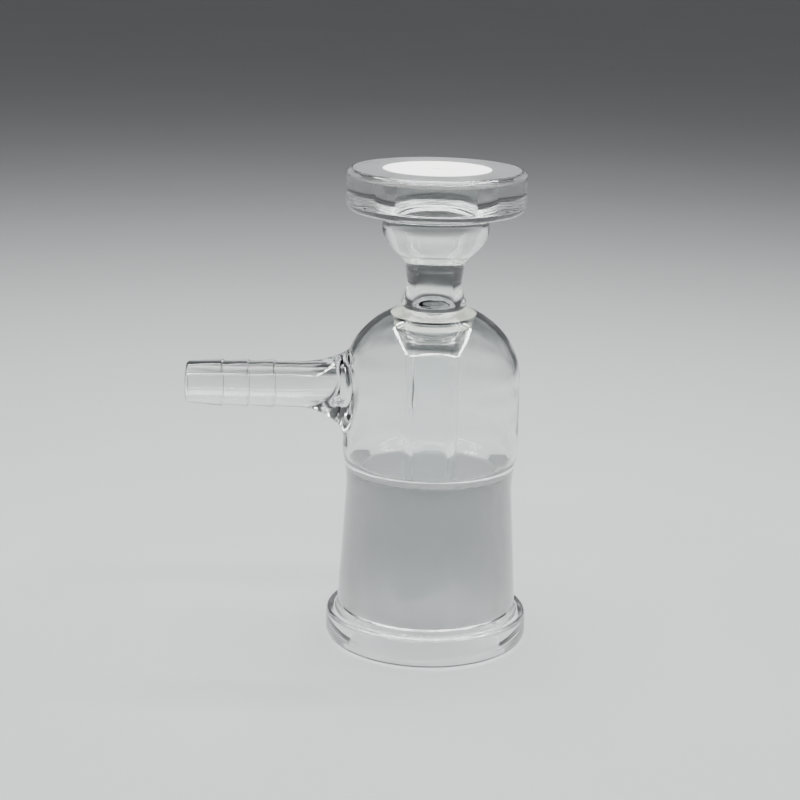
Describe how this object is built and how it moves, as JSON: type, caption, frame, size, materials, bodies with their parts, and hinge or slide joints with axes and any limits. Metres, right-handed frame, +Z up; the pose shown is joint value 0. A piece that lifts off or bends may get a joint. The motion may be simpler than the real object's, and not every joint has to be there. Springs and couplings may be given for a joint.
{
  "type": "vacuum filtration base",
  "caption": "Fused glass vacuum filtration base: ground flange with fritted disc, bowl and neck on a domed bell with barbed side arm, drip tube and ground socket joint.",
  "frame": {"origin": "centre of the joint's open end, in the plane of the rim's lower face", "axes": "+Z up the axis of the bell to the filter face, -X along the side arm"},
  "size_m": [0.0926, 0.0546, 0.1285],
  "materials": {
    "clear_glass": "clear fire-polished borosilicate glass",
    "ground_flange_glass": "clear glass with a finely ground, matt grey top face",
    "ground_joint_glass": "clear glass outside, ground matt taper inside",
    "sintered_glass": "white sintered glass grains, porous and matt"
  },
  "bodies": {
    "root": {"flange_plate": "ground_flange_glass", "frit_disc": "sintered_glass", "collecting_bowl": "clear_glass", "neck_tube": "clear_glass", "bell_body": "clear_glass", "ring_seal": "clear_glass", "drip_tube": "clear_glass", "side_arm_root": "clear_glass", "hose_barb": "clear_glass", "joint_socket": "ground_joint_glass", "joint_rim": "clear_glass"}
  },
  "joints": []
}
